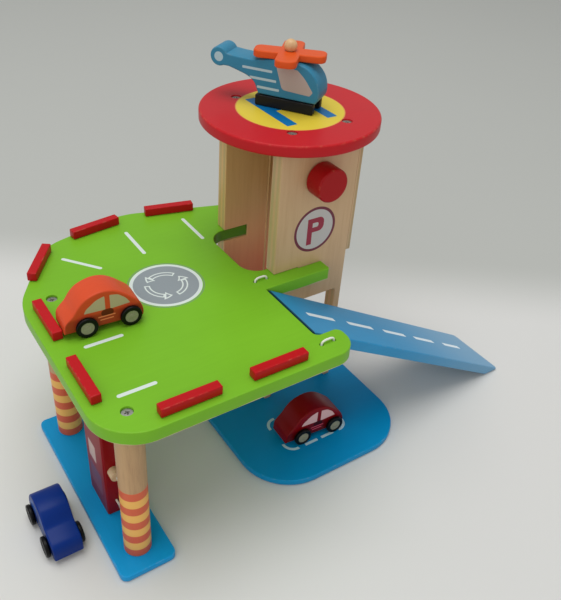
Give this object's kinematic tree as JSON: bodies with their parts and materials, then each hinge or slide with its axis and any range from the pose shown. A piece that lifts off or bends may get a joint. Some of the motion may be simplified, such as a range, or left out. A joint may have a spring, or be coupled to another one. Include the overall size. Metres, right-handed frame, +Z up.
{
  "type": "toy parking garage with lift",
  "caption": "Wooden toy parking garage: raised deck on legs, lift tower with a knob-wound platform, ramp, helicopter pad, fuel pump with hose, and rolling cars.",
  "frame": {"origin": "on the table, under the middle of the lift tower, on the tower base's underside", "axes": "+Z up, +X along the deck's straight front edge towards the ramp's foot, +Y away from that edge"},
  "size_m": [0.4953, 0.2727, 0.3402],
  "materials": {
    "deck_paint": "satin lime-green paint over plywood",
    "ramp_paint": "satin light blue paint over plywood",
    "plank_paint": "satin bright blue paint over plywood",
    "base_paint": "satin deep blue paint over plywood",
    "tower_ply": "clear lacquered plywood",
    "natural_wood": "clear lacquered hardwood dowel",
    "pad_paint": "satin red paint over plywood",
    "block_paint": "satin red paint",
    "knob_paint": "satin dark red paint",
    "pump_paint": "satin dark red paint",
    "helicopter_paint": "satin grey-blue paint",
    "black_paint": "satin black paint",
    "rotor_paint": "satin orange paint",
    "orange_paint": "satin orange paint",
    "dark_red_paint": "satin dark red paint",
    "blue_paint": "satin blue paint",
    "wheel_wood": "satin black paint with a pale turned hub",
    "cord": "white braided cord",
    "screw_steel": "zinc plated",
    "axle_steel": "plain steel pin"
  },
  "bodies": {
    "root": {"deck": "deck_paint", "side_plank": "plank_paint", "tower_base": "base_paint", "leg_front": "natural_wood", "leg_back": "natural_wood", "leg_screw_front": "screw_steel", "leg_screw_back": "screw_steel", "bumper_front_left": "block_paint", "bumper_front_right": "block_paint", "bumper_left_near": "block_paint", "bumper_left_far": "block_paint", "bumper_corner": "block_paint", "bumper_back_left": "block_paint", "bumper_back_right": "block_paint", "tower_wall_near": "tower_ply", "tower_wall_far": "tower_ply", "tower_wall_back": "tower_ply", "helipad_disc": "pad_paint", "pad_screw_near_left": "screw_steel", "pad_screw_near_right": "screw_steel", "pad_screw_far_left": "screw_steel", "pad_screw_far_right": "screw_steel", "lift_cord_near": "cord", "lift_cord_far": "cord", "ramp_tie_near": "cord", "ramp_tie_far": "cord", "pump_body": "pump_paint", "pump_peg": "natural_wood", "pump_hose": "cord"},
    "lift": {"lift_platform": "block_paint"},
    "spool": {"lift_axle": "natural_wood", "lift_knob": "knob_paint"},
    "ramp": {"ramp": "ramp_paint", "ramp_dowel": "natural_wood"},
    "helicopter": {"helicopter_body": "helicopter_paint", "skid_near": "black_paint", "skid_far": "black_paint", "rotor_peg": "natural_wood"},
    "rotor": {"rotor": "rotor_paint"},
    "orange_car": {"orange_car_body": "orange_paint"},
    "orange_car_front_wheels": {"orange_car_axle_front": "axle_steel", "orange_car_wheel_front_left": "wheel_wood", "orange_car_wheel_front_right": "wheel_wood"},
    "orange_car_rear_wheels": {"orange_car_axle_rear": "axle_steel", "orange_car_wheel_rear_left": "wheel_wood", "orange_car_wheel_rear_right": "wheel_wood"},
    "red_car": {"red_car_body": "dark_red_paint"},
    "red_car_front_wheels": {"red_car_axle_front": "axle_steel", "red_car_wheel_front_left": "wheel_wood", "red_car_wheel_front_right": "wheel_wood"},
    "red_car_rear_wheels": {"red_car_axle_rear": "axle_steel", "red_car_wheel_rear_left": "wheel_wood", "red_car_wheel_rear_right": "wheel_wood"},
    "blue_car": {"blue_car_body": "blue_paint"},
    "blue_car_front_wheels": {"blue_car_axle_front": "axle_steel", "blue_car_wheel_front_left": "wheel_wood", "blue_car_wheel_front_right": "wheel_wood"},
    "blue_car_rear_wheels": {"blue_car_axle_rear": "axle_steel", "blue_car_wheel_rear_left": "wheel_wood", "blue_car_wheel_rear_right": "wheel_wood"}
  },
  "joints": [
    {"name": "lift_slide", "type": "slide", "parent": "root", "child": "lift", "axis": [0, 0, 1], "range_m": [0, 0.1417], "deforming": ["lift_cord_near", "lift_cord_far"]},
    {"name": "spool_spin", "type": "hinge", "parent": "root", "child": "spool", "pos_m": [0, 0, 0.242], "axis": [0, 1, 0], "continuous": true},
    {"name": "ramp_lift", "type": "hinge", "parent": "root", "child": "ramp", "pos_m": [-0.054, -0.0978, 0.1399], "axis": [0, -1, 0], "range_deg": [0, 4.5]},
    {"name": "helicopter_lift", "type": "slide", "parent": "root", "child": "helicopter", "axis": [0, 0, 1], "range_m": [0, 0.06]},
    {"name": "rotor_spin", "type": "hinge", "parent": "helicopter", "child": "rotor", "pos_m": [0.00075, 0.0067, 0.3276], "axis": [0, 0, 1], "continuous": true},
    {"name": "orange_car_roll", "type": "slide", "parent": "root", "child": "orange_car", "axis": [-0.9986, 0.0523, 0], "range_m": [-0.09, 0]},
    {"name": "orange_car_front_spin", "type": "hinge", "parent": "orange_car", "child": "orange_car_front_wheels", "pos_m": [-0.21163, -0.03757, 0.16505], "axis": [-0.0523, -0.9986, 0], "continuous": true},
    {"name": "orange_car_rear_spin", "type": "hinge", "parent": "orange_car", "child": "orange_car_rear_wheels", "pos_m": [-0.17617, -0.03943, 0.16505], "axis": [-0.0523, -0.9986, 0], "continuous": true},
    {"name": "red_car_roll", "type": "slide", "parent": "root", "child": "red_car", "axis": [-0.9986, 0.0523, 0], "range_m": [-0.03, 0.03]},
    {"name": "red_car_front_spin", "type": "hinge", "parent": "red_car", "child": "red_car_front_wheels", "pos_m": [-0.04123, -0.10267, 0.01505], "axis": [-0.0523, -0.9986, 0], "continuous": true},
    {"name": "red_car_rear_spin", "type": "hinge", "parent": "red_car", "child": "red_car_rear_wheels", "pos_m": [-0.00577, -0.10453, 0.01505], "axis": [-0.0523, -0.9986, 0], "continuous": true},
    {"name": "blue_car_roll", "type": "slide", "parent": "root", "child": "blue_car", "axis": [0, -1, 0], "range_m": [-0.04, 0.06]},
    {"name": "blue_car_front_spin", "type": "hinge", "parent": "blue_car", "child": "blue_car_front_wheels", "pos_m": [-0.2693, -0.10575, 0.00875], "axis": [1, 0, 0], "continuous": true},
    {"name": "blue_car_rear_spin", "type": "hinge", "parent": "blue_car", "child": "blue_car_rear_wheels", "pos_m": [-0.2693, -0.07025, 0.00875], "axis": [1, 0, 0], "continuous": true}
  ],
  "couplings": [
    {"joint": "spool_spin", "follows": "lift_slide", "rad_per_m": -188.68},
    {"joint": "orange_car_front_spin", "follows": "orange_car_roll", "rad_per_m": 114.29},
    {"joint": "orange_car_rear_spin", "follows": "orange_car_roll", "rad_per_m": 114.29},
    {"joint": "red_car_front_spin", "follows": "red_car_roll", "rad_per_m": 114.29},
    {"joint": "red_car_rear_spin", "follows": "red_car_roll", "rad_per_m": 114.29},
    {"joint": "blue_car_front_spin", "follows": "blue_car_roll", "rad_per_m": 114.29},
    {"joint": "blue_car_rear_spin", "follows": "blue_car_roll", "rad_per_m": 114.29}
  ]
}
